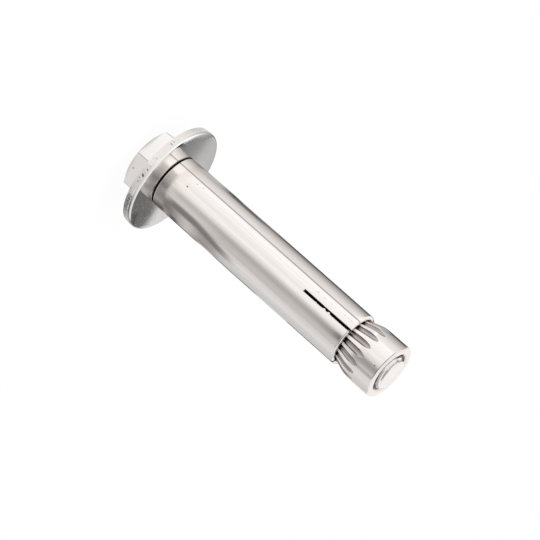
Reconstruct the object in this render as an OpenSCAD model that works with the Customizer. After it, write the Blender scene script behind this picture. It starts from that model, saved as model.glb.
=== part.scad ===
// Sleeve anchor: a hex bolt draws a fluted cone nut into the mouth of a slit sleeve.
// It stands on its head: the origin is the centre of the head's top, +Z runs to the bolt's tip.
// The side with the first slit faces -Y.

/* [Bolt] */
// Nominal diameter of the thread
thread_d = 8; // [6:0.5:12]
// Pitch of the thread
thread_pitch = 1.25; // [0.8:0.05:1.5]
// Width of the head across its flats
hex_af = 13; // [12:0.5:17]
// Height of the head with its washer face
head_h = 5.3; // [4:0.1:8]
// Angle of the chamfer that rounds the head's corners
hex_chamfer_deg = 30; // [15:1:45]
// Distance from the flats to the round top of the head
hex_top_inset = 0.3; // [0.1:0.05:0.8]
// Height of the washer face under the head
washer_face_h = 0.4; // [0.2:0.05:0.8]
// Distance from the flats to the washer face
washer_face_inset = 0.7; // [0.3:0.1:1.2]
// Radius of the fillet between the head and the shank
under_head_r = 0.3; // [0.1:0.05:0.5]
// How far the tip stands out of the nut
tip_proud = 0.65; // [0.3:0.05:3]
// Chamfer at the tip
tip_chamfer = 0.4; // [0.1:0.05:0.8]
// Turn of the head, from one corner facing -Y
hex_turn = 3; // [-30:1:30]

/* [Washer] */
// Outside diameter of the washer
washer_d = 24; // [18:0.5:30]
// Thickness of the washer
washer_t = 2; // [1:0.1:3]
// Radial play between the thread and the washer's hole
washer_play = 0.3; // [0.1:0.05:0.8]
// Radius that punching leaves on the edges of one face
washer_roll_r = 0.3; // [0.1:0.05:0.5]

/* [Sleeve] */
// Length of the sleeve
sleeve_l = 50; // [30:0.5:90]
// Wall of the sleeve
sleeve_wall = 0.8; // [0.7:0.05:1.4]
// Radial play between the thread and the sleeve's bore
sleeve_play = 1.1; // [0.9:0.05:1.6]
// Radius on the outer edges of both ends
sleeve_edge_r = 0.45; // [0.1:0.05:0.55]
// Radius on the inner edge of the mouth
mouth_edge_r = 0.2; // [0.05:0.05:0.3]
// Number of slits in the mouth
slit_count = 4; // [2:1:6]
// Length of each slit
slit_l = 12.5; // [6:0.5:25]
// Width of each slit
slit_w = 0.6; // [0.4:0.1:1.5]
// Turn of the first slit, from facing -Y
slit_turn = -10; // [-45:0.5:45]

/* [Cone nut] */
// How far the nut stands out of the mouth
nut_out = 9.75; // [8:0.25:16]
// How far its small end reaches into the mouth
nut_in = 1; // [0.5:0.1:1.5]
// How far the nut's cylinder stands proud of the sleeve, all round
nut_over = 0.15; // [0.05:0.05:0.4]
// Half angle of the cone
cone_deg = 18; // [13:0.5:24]
// Radial gap between the cone and the mouth
cone_gap = 0.1; // [0.05:0.05:0.3]
// Radius that blends the cone into the cylinder
shoulder_r = 7; // [2:0.5:10]
// Radius on the outer edge of the end
nut_edge_r = 0.45; // [0.1:0.05:0.7]
// Width that the countersink leaves on the end
end_ring_w = 1.4; // [0.8:0.1:2]
// Half angle of the countersink
countersink_deg = 45; // [30:5:60]
// Radial play between the thread of the bolt and that of the nut
thread_play = 0.04; // [0.02:0.01:0.1]
// Number of flutes round the cone
flute_count = 18; // [10:1:24]
// Angle of a flute's bottom to the axis, flatter than the cone, so that it deepens to the shoulder
flute_deg = 15; // [11:0.5:17]
// Depth of each flute at the mouth, square to its bottom
flute_depth = 0.4; // [0.2:0.05:0.5]
// Width of each flute at the mouth
flute_w = 1.2; // [0.8:0.05:1.4]

/* [Hidden] */
$fn = 96;

// Steps in an edge's quarter round, in the long blend of the cone, and in a flute's half round
edge_steps = 6;
blend_steps = 8;
flute_steps = 10;
// Overrun of a cut past the face that it starts from
overrun = 0.5;
// The side that faces the viewer
front_deg = -90;

// Both threads are plain cylinders at the pitch diameter of an ISO metric thread
pitch_r = (thread_d - 0.6495 * thread_pitch) / 2;
tip_r = pitch_r - tip_chamfer;
hex_ac = hex_af / cos(30);
hex_top_r = hex_af / 2 - hex_top_inset;
washer_face_r = hex_af / 2 - washer_face_inset;

washer_hole_r = thread_d / 2 + washer_play;
washer_r = washer_d / 2;

sleeve_bore_r = thread_d / 2 + sleeve_play;
sleeve_r = sleeve_bore_r + sleeve_wall;

nut_r = sleeve_r + nut_over;
nut_bore_r = pitch_r + thread_play;
countersink_r = nut_r - end_ring_w;
countersink_h = (countersink_r - nut_bore_r) / tan(countersink_deg);
cone_mouth_r = sleeve_bore_r - cone_gap;
cone_small_r = cone_mouth_r - nut_in * tan(cone_deg);
shoulder_z = (nut_r - cone_mouth_r) / tan(cone_deg);
shoulder_reach = shoulder_r * tan(cone_deg / 2);
// The round of a flute goes through its bottom and both of its edges at the mouth
flute_r = (pow(flute_w / 2, 2) + pow(flute_depth, 2)) / (2 * flute_depth);

// Heights of the stack, from the head up
washer_z = head_h;
sleeve_z = washer_z + washer_t;
mouth_z = sleeve_z + sleeve_l;
nut_end_z = mouth_z + nut_out;
tip_z = nut_end_z + tip_proud;

// Points of an arc round a centre, from one angle to another
function arc(centre, r, from, to, steps) =
    [for (i = [0:steps]) let (a = from + (to - from) * i / steps) centre + r * [cos(a), sin(a)]];

// Hexagon whose corners are cut back by a cone at the top, above a round washer face
module hex_head() {
    hex_h = head_h - washer_face_h;
    intersection() {
        rotate([0, 0, front_deg + hex_turn])
            cylinder(d = hex_ac, h = hex_h, $fn = 6);
        cylinder(r1 = hex_top_r, r2 = hex_top_r + hex_h / tan(hex_chamfer_deg), h = hex_h);
    }
    cylinder(r = washer_face_r, h = head_h);
}

// Shank with a fillet under the head and a chamfered tip
module shank() {
    fillet_centre = [pitch_r + under_head_r, head_h + under_head_r];
    rotate_extrude()
        polygon(concat(
            [[0, head_h - washer_face_h], [pitch_r + under_head_r, head_h - washer_face_h]],
            arc(fillet_centre, under_head_r, 270, 180, edge_steps),
            [[pitch_r, tip_z - tip_chamfer], [tip_r, tip_z], [0, tip_z]]
        ));
}

module hex_bolt() {
    color("silver") {
        hex_head();
        shank();
    }
}

// Punched ring, with the rolled edges on the face towards the sleeve
module flat_washer() {
    roll_z = washer_t - washer_roll_r;
    color("gainsboro")
        translate([0, 0, washer_z])
            rotate_extrude()
                polygon(concat(
                    [[washer_hole_r, 0], [washer_r, 0]],
                    arc([washer_r - washer_roll_r, roll_z], washer_roll_r, 0, 90, edge_steps),
                    arc([washer_hole_r + washer_roll_r, roll_z], washer_roll_r, 90, 180, edge_steps)
                ));
}

// Tube with rounded ends, half of its wall's section
module sleeve_tube() {
    edge_r = sleeve_r - sleeve_edge_r;
    rotate_extrude()
        polygon(concat(
            [[sleeve_bore_r, 0]],
            arc([edge_r, sleeve_edge_r], sleeve_edge_r, -90, 0, edge_steps),
            arc([edge_r, sleeve_l - sleeve_edge_r], sleeve_edge_r, 0, 90, edge_steps),
            arc([sleeve_bore_r + mouth_edge_r, sleeve_l - mouth_edge_r], mouth_edge_r, 90, 180, edge_steps)
        ));
}

module expansion_sleeve() {
    color("whitesmoke")
        translate([0, 0, sleeve_z])
            difference() {
                sleeve_tube();
                for (i = [0:slit_count - 1])
                    rotate([0, 0, front_deg + slit_turn + i * 360 / slit_count])
                        translate([sleeve_bore_r / 2, -slit_w / 2, sleeve_l - slit_l])
                            cube([sleeve_r, slit_w, slit_l + overrun]);
            }
}

// Cone and cylinder in one turned blank, bored for the thread, with the mouth of the sleeve at z = 0
module nut_blank() {
    blend_centre = [nut_r - shoulder_r, shoulder_z + shoulder_reach];
    rotate_extrude()
        polygon(concat(
            [[nut_bore_r, -nut_in], [cone_small_r, -nut_in]],
            arc(blend_centre, shoulder_r, -cone_deg, 0, blend_steps),
            arc([nut_r - nut_edge_r, nut_out - nut_edge_r], nut_edge_r, 0, 90, edge_steps),
            [[countersink_r, nut_out], [nut_bore_r, nut_out - countersink_h]]
        ));
}

// Round nosed cutter along a flute's bottom line, which rises out of the cylinder and leaves a rounded end
module flute_cutter() {
    shoulder_depth = flute_depth + shoulder_z * (tan(cone_deg) - tan(flute_deg));
    reach = max(flute_r, shoulder_depth) + overrun;
    start = nut_in / cos(flute_deg) + overrun;
    run_out = (nut_r - cone_mouth_r) / sin(flute_deg) + flute_depth / tan(flute_deg) + overrun;
    translate([cone_mouth_r, 0, 0])
        rotate([0, flute_deg, 0])
            translate([-flute_depth, 0, -start])
                linear_extrude(start + run_out)
                    polygon(concat(
                        [[reach, -flute_r]],
                        arc([flute_r, 0], flute_r, 270, 90, flute_steps),
                        [[reach, flute_r]]
                    ));
}

module cone_nut() {
    color("lightgray")
        translate([0, 0, mouth_z])
            difference() {
                nut_blank();
                for (i = [0:flute_count - 1])
                    rotate([0, 0, front_deg + (i + 0.5) * 360 / flute_count])
                        flute_cutter();
            }
}

hex_bolt();
flat_washer();
expansion_sleeve();
cone_nut();
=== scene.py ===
# %% [markdown]
# # A sleeve anchor in bright stainless steel
# A hex bolt runs through a wide washer and a long slit sleeve into a fluted cone nut. Turning the bolt
# draws the cone into the sleeve's mouth, and the four leaves grip the wall of a drilled hole.
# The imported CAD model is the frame: every piece made here sits where its CAD node sits and moves with
# the same body. All sizes below are in millimetres, and are turned to metres when a mesh is made.

import math

import bmesh
import bpy
import numpy as np
from mathutils import Matrix, Vector


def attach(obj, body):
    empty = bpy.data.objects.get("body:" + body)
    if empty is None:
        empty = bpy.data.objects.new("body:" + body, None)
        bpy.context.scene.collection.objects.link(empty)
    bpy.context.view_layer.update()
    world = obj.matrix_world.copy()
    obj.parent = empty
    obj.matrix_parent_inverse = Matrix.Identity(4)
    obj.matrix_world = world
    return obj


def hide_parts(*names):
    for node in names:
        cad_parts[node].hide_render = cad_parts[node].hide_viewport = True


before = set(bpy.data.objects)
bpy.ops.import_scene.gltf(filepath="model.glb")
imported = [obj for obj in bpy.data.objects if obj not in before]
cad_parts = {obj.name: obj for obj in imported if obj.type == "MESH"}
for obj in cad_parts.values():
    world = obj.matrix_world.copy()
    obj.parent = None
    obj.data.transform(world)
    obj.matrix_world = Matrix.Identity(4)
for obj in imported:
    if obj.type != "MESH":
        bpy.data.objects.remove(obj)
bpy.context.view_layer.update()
MM = 0.001

# %% [markdown]
# ## The camera
# The anchor lies slanting across the picture, head up on the left. Here it stands on its head, so the
# camera rolls instead: it looks down at 20 degrees from the -Y side and leans over by 131.6 degrees. A long
# lens from far away gives the flat perspective of a catalogue picture.

# %% Camera
LENS_PX = 3500.0
PICTURE_PX = 540.0
ELEVATION = math.radians(20.1)
ROLL = math.radians(131.6)
DISTANCE = 682.3
TARGET = np.array([0.0, 0.0, 33.4])
TARGET_OFF_CENTRE_PX = (-3.32, 6.16)

back = np.array([0.0, -math.cos(ELEVATION), math.sin(ELEVATION)])
level_right = np.array([1.0, 0.0, 0.0])
level_up = np.cross(back, level_right)
right = math.cos(ROLL) * level_right + math.sin(ROLL) * level_up
up = -math.sin(ROLL) * level_right + math.cos(ROLL) * level_up
mm_per_px = DISTANCE / LENS_PX
off_right, off_up = TARGET_OFF_CENTRE_PX
aim = TARGET - (off_right * right + off_up * up) * mm_per_px

lens = bpy.data.cameras.new("catalogue_lens")
lens.sensor_width = 36.0
lens.lens = LENS_PX / PICTURE_PX * lens.sensor_width
camera = bpy.data.objects.new("catalogue_camera", lens)
bpy.context.scene.collection.objects.link(camera)
camera_place = Matrix.Identity(4)
for column, axis in enumerate((right, up, back, (aim + DISTANCE * back) * MM)):
    for row in range(3):
        camera_place[row][column] = axis[row]
camera.matrix_world = camera_place
bpy.context.scene.camera = camera
print("lens in mm:", round(lens.lens, 1))

# %% [markdown]
# ## From a grid of points to a piece
# Every piece is round about the Z axis, so each surface is a grid: rows follow a profile, columns go round.
# The profile runs up the outside, and the columns run counter-clockwise seen from above, so that
# the quads between them face outwards. A row that shrinks to one point is a pole. Such doubles are merged,
# which closes poles and the seams between two grids.

# %% Grid helpers
def round_grid(radius, height, angle):
    """Points at a radius and height, turned by an angle about Z. The three arrays broadcast to a grid."""
    radius, height, angle = np.broadcast_arrays(radius, height, angle)
    return np.stack([radius * np.cos(angle), radius * np.sin(angle), height], -1)


def round_quads(rows, columns, first=0):
    """Quads between neighbouring rows of a grid whose last column meets its first one."""
    this = np.arange(columns)
    after = (this + 1) % columns
    low = first + np.arange(rows - 1)[:, None] * columns
    high = low + columns
    return np.stack([low + this, low + after, high + after, high + this], -1).reshape(-1, 4)


def arc(centre, radius, start_deg, end_deg, steps):
    """Points of an arc in the (r, z) plane, both ends included."""
    a = np.radians(np.linspace(start_deg, end_deg, steps))
    return np.stack([centre[0] + radius * np.cos(a), centre[1] + radius * np.sin(a)], -1)


def soft_step(x, low, high):
    """0 below low, 1 above high, and a smooth S between them."""
    t = np.clip((x - low) / (high - low), 0.0, 1.0)
    return t * t * (3.0 - 2.0 * t)


def off_angle(a, b):
    """Signed difference of two angles in degrees, from -180 to 180."""
    return (a - b + 180.0) % 360.0 - 180.0


print("a quarter round in three points:", arc((0.0, 0.0), 1.0, 0, 90, 3).round(3).tolist())


# %% From arrays to a piece
def make_piece(name, points, quads, body, node, sharp_deg=38.0, face_values=None):
    """Puts the arrays into a mesh, merges doubles, and lets the piece stand for its CAD node."""
    points = np.asarray(points, np.float32).reshape(-1, 3) * MM
    quads = np.asarray(quads, np.int32)
    mesh = bpy.data.meshes.new(name)
    mesh.vertices.add(len(points))
    mesh.vertices.foreach_set("co", points.ravel())
    mesh.loops.add(quads.size)
    mesh.loops.foreach_set("vertex_index", quads.ravel())
    mesh.polygons.add(len(quads))
    mesh.polygons.foreach_set("loop_start", np.arange(0, quads.size, 4, dtype=np.int32))
    mesh.update(calc_edges=True)
    for key, values in (face_values or {}).items():
        layer = mesh.attributes.new(key, "FLOAT", "FACE")
        layer.data.foreach_set("value", np.asarray(values, np.float32))
    work = bmesh.new()
    work.from_mesh(mesh)
    bmesh.ops.remove_doubles(work, verts=work.verts, dist=1e-7)
    open_edges = sum(not edge.is_manifold for edge in work.edges)
    work.to_mesh(mesh)
    work.free()
    mesh.shade_smooth()
    mesh.set_sharp_from_angle(angle=math.radians(sharp_deg))
    piece = bpy.data.objects.new(name, mesh)
    bpy.context.scene.collection.objects.link(piece)
    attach(piece, body)
    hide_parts(node)
    print(f"{name}: {len(mesh.polygons)} faces, {open_edges} open edges")
    return piece


# %% [markdown]
# ## A metric thread
# Bolt and nut meet in an M8 thread. A thread could be cut row by row at fixed heights, but then its crest
# crosses the rows and looks ragged. Here the rows follow the helix themselves: one
# pitch of the profile is repeated up the bolt, and each column is lifted by its share of a pitch, so the
# last column meets the first one a pitch higher. Rows past an end are pressed flat onto it and merge there.

# %% Thread
PITCH = 1.25
THREAD_R = 4.0
ROOT_R = 3.233
CREST_FLAT = PITCH / 16
# Height of a crest over the first column, which decides where the tip cuts the thread off
CREST_Z = 0.65
# Distances from the middle of a crest, close together where the profile turns
THREAD_STEPS = np.array([-0.6, -0.53, -0.49, -0.3, -0.12, -0.07, 0.0, 0.07, 0.12, 0.25, 0.38, 0.49, 0.53])


def thread_radius(offset, top, root):
    """ISO profile: a flat crest, flanks at 60 degrees to each other, and a flat root."""
    return np.clip(top - (np.abs(offset) - CREST_FLAT) * math.sqrt(3.0), root, top)


def thread_grid(angle, low, high, shape):
    """Helical grid between two heights: row z = turn * pitch + step + pitch * angle / full turn, clamped to
    both ends. shape(offset, z) gives the radius. Returns points and quads."""
    columns = len(angle)
    steps = len(THREAD_STEPS)
    lift = PITCH * (angle - angle[0]) / (2 * math.pi)
    first_turn = math.floor((low - CREST_Z) / PITCH) - 2
    turns = math.ceil((high - CREST_Z) / PITCH) + 2 - first_turn
    offset = np.tile(THREAD_STEPS, turns)
    base = np.repeat(first_turn + np.arange(turns), steps) * PITCH + CREST_Z + offset
    z = np.clip(base[:, None] + lift, low, high)
    # A clamped point keeps the phase that belongs to its real height
    phase = z - lift - CREST_Z
    centred = phase - np.round(phase / PITCH) * PITCH
    points = round_grid(shape(centred, z), z, angle)
    rows = len(offset)
    first = np.arange(rows - 1)[:, None] * columns + np.arange(columns - 1)
    inner = np.stack([first, first + 1, first + columns + 1, first + columns], -1).reshape(-1, 4)
    turn = np.arange(rows - 1 - steps)
    last, begin = turn * columns + columns - 1, (turn + steps) * columns
    seam = np.stack([last, begin, begin + columns, last + columns], -1)
    return points.reshape(-1, 3), np.concatenate([inner, seam])


print("thread: pitch", PITCH, "depth", round(THREAD_R - ROOT_R, 3))

# %% [markdown]
# ## The hex bolt
# The bolt is cold headed: a hexagon with a 30 degree chamfer on its top, a round washer face below, then
# a rolled thread down to a chamfered tip. In the (r, z) plane the hexagon is a radius that depends on the
# angle, so head, shank and tip are rows of one grid. Its columns crowd together at the six corners, where
# a small radius catches the light. The chamfer meets the flats in curves, so those rows follow the corner.

# %% Hex bolt
HEX_TURN_DEG = -87.0
HEX_FLAT_R = 6.5
HEX_CORNER_R = 0.3
HEX_TOP_R = 6.2
HEX_H = 4.9
HEAD_H = 5.3
WASHER_FACE_R = 5.8
SHANK_R = 3.594
FILLET_R = 0.3
TIP_Z = 67.7
TIP_R = 3.194
THREAD_START_Z = 6.5
THREAD_FULL_Z = 8.5
# Room that a softened edge takes up on each of its two sides
EDGE = 0.09

sector = np.array([0, 0.4, 0.8, 1.16, 1.8, 3, 5, 8, 12, 17, 23])
sector = np.concatenate([sector, [30], 60 - sector[:0:-1]])
hex_angle_deg = (np.arange(6)[:, None] * 60 + sector).ravel()
bolt_angle = np.radians(hex_angle_deg + HEX_TURN_DEG)


def hexagon_radius(angle_deg):
    """Radius of a hexagon with rounded corners: an arc near a corner, and flat / cos elsewhere."""
    off_corner = np.radians((angle_deg + 30) % 60 - 30)
    centre = (HEX_FLAT_R - HEX_CORNER_R) / math.cos(math.pi / 6)
    reach = np.arctan2(HEX_CORNER_R / 2, centre + HEX_CORNER_R * math.cos(math.pi / 6))
    side = np.minimum(np.abs(off_corner), reach)
    corner = centre * np.cos(side) + np.sqrt(HEX_CORNER_R**2 - (centre * np.sin(side)) ** 2)
    flat = HEX_FLAT_R / np.cos(math.pi / 6 - np.abs(off_corner))
    return np.where(np.abs(off_corner) <= reach, corner, flat)


hex_r = hexagon_radius(hex_angle_deg)
chamfer_h = (hex_r - HEX_TOP_R) * math.tan(math.radians(30))
head_rows = [(0 * hex_r, 0 * hex_r)]
head_rows += [(0 * hex_r + r, 0 * hex_r) for r in (1.5, 3.0, 4.5, 5.6, HEX_TOP_R - EDGE)]
head_rows += [(0 * hex_r + HEX_TOP_R, 0 * hex_r + 0.012)]
head_rows += [(HEX_TOP_R + (hex_r - HEX_TOP_R) * s, chamfer_h * s) for s in (0.3, 0.6, 0.84)]
head_rows += [(hex_r - 0.022, chamfer_h + 0.004), (hex_r - 0.004, chamfer_h + EDGE * 0.7)]
head_rows += [(hex_r, chamfer_h + (HEX_H - EDGE - chamfer_h) * s) for s in (0.06, 0.25, 0.5, 0.75, 1.0)]
head_rows += [(hex_r - 0.025, 0 * hex_r + HEX_H - 0.025), (hex_r - EDGE, 0 * hex_r + HEX_H)]
neck = [(WASHER_FACE_R + 0.05, HEX_H), (WASHER_FACE_R, HEX_H + 0.05), (WASHER_FACE_R, HEAD_H - EDGE)]
neck += [(WASHER_FACE_R - 0.03, HEAD_H - 0.03), (WASHER_FACE_R - EDGE, HEAD_H)]
neck += list(arc((SHANK_R + FILLET_R, HEAD_H + FILLET_R), FILLET_R, 270, 180, 5))
neck += [(SHANK_R, THREAD_START_Z)]
head_rows += [(0 * hex_r + r, 0 * hex_r + z) for r, z in neck]
head_r, head_z = (np.array(rows) for rows in zip(*head_rows))
head_points = round_grid(head_r, head_z, bolt_angle)
print("head:", len(head_r), "rows of", len(bolt_angle), "points")


# %% Thread and tip of the bolt
def bolt_thread(offset, z):
    """The thread grows out of the plain shank near the head, and the tip's 45 degree chamfer cuts it off."""
    grown = soft_step(z, THREAD_START_Z, THREAD_FULL_Z)
    full = SHANK_R + (thread_radius(offset, THREAD_R, ROOT_R) - SHANK_R) * grown
    return np.minimum(full, TIP_R + TIP_Z - z)


THREAD_END_Z = TIP_Z - (ROOT_R - TIP_R)
rolled, rolled_quads = thread_grid(bolt_angle, THREAD_START_Z, THREAD_END_Z, bolt_thread)

# Rolling the thread pushes the rim of the tip forward and leaves a shallow dish
tip_rows = [(ROOT_R, THREAD_END_Z), (TIP_R, TIP_Z - 0.012), (TIP_R - EDGE, TIP_Z - 0.002), (2.75, TIP_Z)]
tip_rows += [(2.6, TIP_Z - 0.02), (2.4, TIP_Z - 0.1), (2.2, TIP_Z - 0.17), (1.95, TIP_Z - 0.2)]
tip_rows += [(1.0, TIP_Z - 0.21), (0.0, TIP_Z - 0.21)]
tip_r, tip_z = np.array(tip_rows).T
tip_points = round_grid(tip_r[:, None], tip_z[:, None], bolt_angle)

bolt_columns = len(bolt_angle)
n_head, n_rolled = head_points.size // 3, len(rolled)
bolt_quads = [
    round_quads(len(head_r), bolt_columns),
    rolled_quads + n_head,
    round_quads(len(tip_r), bolt_columns, n_head + n_rolled),
]
bolt_points = np.concatenate([head_points.reshape(-1, 3), rolled, tip_points.reshape(-1, 3)])
print("bolt:", len(bolt_points), "points,", n_rolled, "of them on the thread")

# %% Oil and painted shade on the bolt
# Painted shade darkens the thread most inside the sleeve and in the last turns; between them oil and dust
# darken it less
thread_middle = rolled[rolled_quads].mean(1)
thread_z = thread_middle[:, 2]
thread_oil_and_shade = 0.9 - 0.5 * soft_step(thread_z, 55.5, 57.5) + 0.5 * soft_step(thread_z, 64.0, 66.0)
# On the last turn painted shade, set by azimuth, stands in for the dark groove and the lit flanks of the
# thread. Heights are from the crest of that turn, azimuths in degrees
LAST_TURN = 53
LAST_CREST_Z = CREST_Z + LAST_TURN * PITCH
TIP_SHADE = [
    (-0.5, -0.1, [-172, -160, -130, -118, -94, -78, -5, 5], [0.3, 0.95, 0.95, 0.1, 0.1, 0.9, 0.9, 0.2]),
    (
        -0.1,
        0.2,
        [-185, -170, -150, -136, -128, -94, -78, -10, 0],
        [0.3, 0.95, 0.95, 0.5, 0.0, 0.0, 0.5, 0.5, 0.3],
    ),
    (0.2, 2.0, [-180, 180], [0.0, 0.0]),
    (0.4, 0.56, [-156, -150, -140, -134, -96, -90, -54, -48], [0.0, 0.6, 0.6, 0.0, 0.0, 0.6, 0.6, 0.0]),
]
thread_deg = np.degrees(np.arctan2(thread_middle[:, 1], thread_middle[:, 0]))
over_crest = thread_z - LAST_CREST_Z - PITCH * (thread_deg - HEX_TURN_DEG) / 360.0
for low_z, high_z, at_deg, dark in TIP_SHADE:
    here = (over_crest > low_z) & (over_crest <= high_z)
    thread_oil_and_shade[here] = np.interp(thread_deg[here], at_deg, dark)
# Painted shade: a dark line on each of the six corners of the head, from the chamfer to the lower edge
CORNER_ROWS = slice(10, 16)
CORNER_HALF_DEG = 0.8
CORNER_DARK = 0.4
cell_mid = hex_angle_deg + np.diff(hex_angle_deg, append=360.0) / 2
on_corner = np.abs((cell_mid + 30.0) % 60.0 - 30.0) < CORNER_HALF_DEG
head_corner_shade = np.zeros((len(head_r) - 1, bolt_columns))
head_corner_shade[CORNER_ROWS] = CORNER_DARK * on_corner
bolt_marks_and_shade = np.concatenate([head_corner_shade.ravel(), thread_oil_and_shade, np.zeros(len(bolt_quads[2]))])
bolt = make_piece(
    "threaded_bolt",
    bolt_points,
    np.concatenate(bolt_quads),
    "bolt",
    "hex_bolt",
    face_values={"marks_and_shade": bolt_marks_and_shade},
)

# %% [markdown]
# ## The flat washer
# The washer is punched from rolled sheet. The punch rolls the edge of one face over, shears the upper half
# of the rim smooth, and tears the rest off, so a torn band with dark streaks is left near the head.
# One closed profile goes round the axis, and seeded noise roughens the rows of the torn band.

# %% Flat washer
WASHER_R = 12.0
HOLE_R = 4.3
WASHER_LOW, WASHER_HIGH = 5.3, 7.3
ROLL_R = 0.3
TORN_LOW, TORN_HIGH = 5.45, 6.5
TORN_DEPTH = 0.05
# Where the tear left fine streaks: azimuth in degrees, spread, and share of the rim that they cover there
STREAKS = [(-78.0, 8.0, 0.2), (-45.0, 8.0, 0.45), (-118.0, 5.0, 0.2), (60.0, 110.0, 0.08)]
# Larger dark marks: azimuth, half width in degrees, lowest and highest point, darkness
MARKS = [(-68.0, 0.8, 5.95, 6.35, 0.45), (-70.0, 0.5, 6.2, 6.5, 0.3), (-74.6, 0.5, 6.3, 6.75, 0.8)]
MARKS += [(-75.5, 0.5, 6.0, 6.7, 0.9), (-76.4, 0.5, 5.9, 6.3, 0.6), (-78.2, 0.4, 6.2, 6.6, 0.4)]
MARKS += [(-81.6, 0.5, 6.3, 6.75, 0.7), (-82.5, 0.5, 6.1, 6.5, 0.9), (-86.5, 0.6, 6.25, 6.7, 0.4)]
MARKS += [(-46.0, 0.9, 5.95, 6.55, 0.8), (-50.5, 0.8, 6.2, 6.7, 0.6), (-39.0, 0.7, 5.9, 6.4, 0.5)]

chance = np.random.default_rng(7)


def ring_noise(count, lengths, seed_source):
    """Noise that closes round a ring: sines of whole wave numbers near the given ones, with random phases."""
    at = np.arange(count) * 2 * math.pi / count
    waves = np.concatenate([np.arange(n, n + 12) for n in lengths])
    phases = seed_source.uniform(0, 2 * math.pi, len(waves))
    return np.sin(at[:, None] * waves + phases).sum(1) / math.sqrt(len(waves))


WASHER_COLUMNS = 432
washer_angle = np.arange(WASHER_COLUMNS) * 2 * math.pi / WASHER_COLUMNS
washer_deg = np.degrees(washer_angle)
profile = [(HOLE_R + 0.02, WASHER_LOW + 0.02), (HOLE_R + 0.08, WASHER_LOW)]
profile += [(r, WASHER_LOW) for r in (6.0, 8.0, 10.0, WASHER_R - 0.12)]
profile += [(WASHER_R - 0.05, WASHER_LOW + 0.03)]
profile += [
    (WASHER_R - 0.03 * (1 - s), WASHER_LOW + 0.1 + s * (TORN_HIGH - WASHER_LOW))
    for s in np.linspace(0, 1, 14)
]
profile += list(arc((WASHER_R - ROLL_R, WASHER_HIGH - ROLL_R), ROLL_R, 0, 90, 8))
profile += [(r, WASHER_HIGH) for r in (11.0, 10.0, 9.0, 8.0, 7.0, 6.0, 5.2)]
profile += list(arc((HOLE_R + ROLL_R, WASHER_HIGH - ROLL_R), ROLL_R, 90, 180, 6))
profile += [(HOLE_R, 6.4), (HOLE_R + 0.02, WASHER_LOW + 0.02)]
washer_r, washer_z = np.array(profile).T
on_rim = (washer_r > WASHER_R - 0.1) * soft_step(washer_z, TORN_LOW - 0.1, TORN_LOW + 0.1)
on_rim = on_rim * (1 - soft_step(washer_z, TORN_HIGH - 0.15, TORN_HIGH + 0.1))
coarse = np.clip(ring_noise(WASHER_COLUMNS, (9, 31, 77), chance), -0.4, 2.0)
fine = chance.uniform(0, 1, (len(profile), WASHER_COLUMNS)) ** 2
tear = on_rim[:, None] * (0.4 + 0.5 * coarse + 0.6 * fine) * TORN_DEPTH
washer_points = round_grid(washer_r[:, None] - np.clip(tear, 0, None), washer_z[:, None], washer_angle)
print("washer:", len(profile), "rows of", WASHER_COLUMNS, "points, tear up to", round(tear.max(), 3))

# %% Marks on the washer
cover = np.zeros(WASHER_COLUMNS)
for centre_deg, spread_deg, share in STREAKS:
    off = off_angle(washer_deg, centre_deg)
    cover = np.maximum(cover, share * np.exp(-((off / spread_deg) ** 2)))
streak_on = chance.uniform(0, 1, WASHER_COLUMNS) < cover
streak_low = chance.uniform(5.6, 6.1, WASHER_COLUMNS)
streak_high = streak_low + chance.uniform(0.2, 0.6, WASHER_COLUMNS)
rim_z = (washer_z[:-1] + washer_z[1:])[:, None] / 2
on_wall = (np.minimum(washer_r[:-1], washer_r[1:]) > WASHER_R - 0.1)[:, None]
streaks = on_wall & streak_on & (rim_z > streak_low) & (rim_z < streak_high)
torn_dark = streaks * chance.uniform(0.4, 1.0, WASHER_COLUMNS)
for centre_deg, half_deg, low_z, high_z, dark in MARKS:
    across = np.abs(off_angle(washer_deg, centre_deg)) < half_deg
    torn_dark[on_wall & across & (rim_z > low_z) & (rim_z < high_z)] = dark
# Handling has rubbed part of the rolled edge matt: the middle of that part, and how far to each side it goes
EDGE_RUBBED_DEG = -66.0
EDGE_RUBBED_REACH = (40.0, 54.0)
on_roll = (rim_z > WASHER_HIGH - ROLL_R) & (washer_r[:-1] > WASHER_R - ROLL_R)[:, None]
edge_off = np.abs(off_angle(washer_deg, EDGE_RUBBED_DEG))
edge_rubbed = on_roll * (1.0 - soft_step(edge_off, *EDGE_RUBBED_REACH))
washer = make_piece(
    "punched_washer",
    washer_points,
    round_quads(len(profile), WASHER_COLUMNS),
    "washer",
    "flat_washer",
    face_values={"torn": torn_dark.ravel(), "rubbed": edge_rubbed.ravel()},
)

# %% [markdown]
# ## The expansion sleeve
# The sleeve is drawn tube with rounded ends. Four saw cuts split its mouth into leaves, and a fine weld
# line runs down one side. A Boolean could cut the slits, but it leaves ragged triangles in the curved wall.
# Instead the wall is two grids, outside and bore, whose columns fall on the slit edges: the cells of a slit
# are left out, and walls join the two grids wherever a cell ends.

# %% Expansion sleeve
SLEEVE_R = 5.9
BORE_R = 5.1
SLEEVE_LOW, SLEEVE_HIGH = 7.3, 57.3
END_EDGE_R = 0.45
MOUTH_EDGE_R = 0.2
FOOT_DARK_ROWS = 5
SLIT_W = 0.6
SLIT_START_Z = SLEEVE_HIGH - 12.5
SLIT_DEG = -100.0
SLIT_BREAK = 0.05
WELD_DEG = -126.7
WELD_DEPTH = 0.04
WELD_W = 0.09
# Rolling leaves the strip's edges slightly proud of the round
WELD_PEAK = 0.02
WELD_REACH = 0.5
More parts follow.
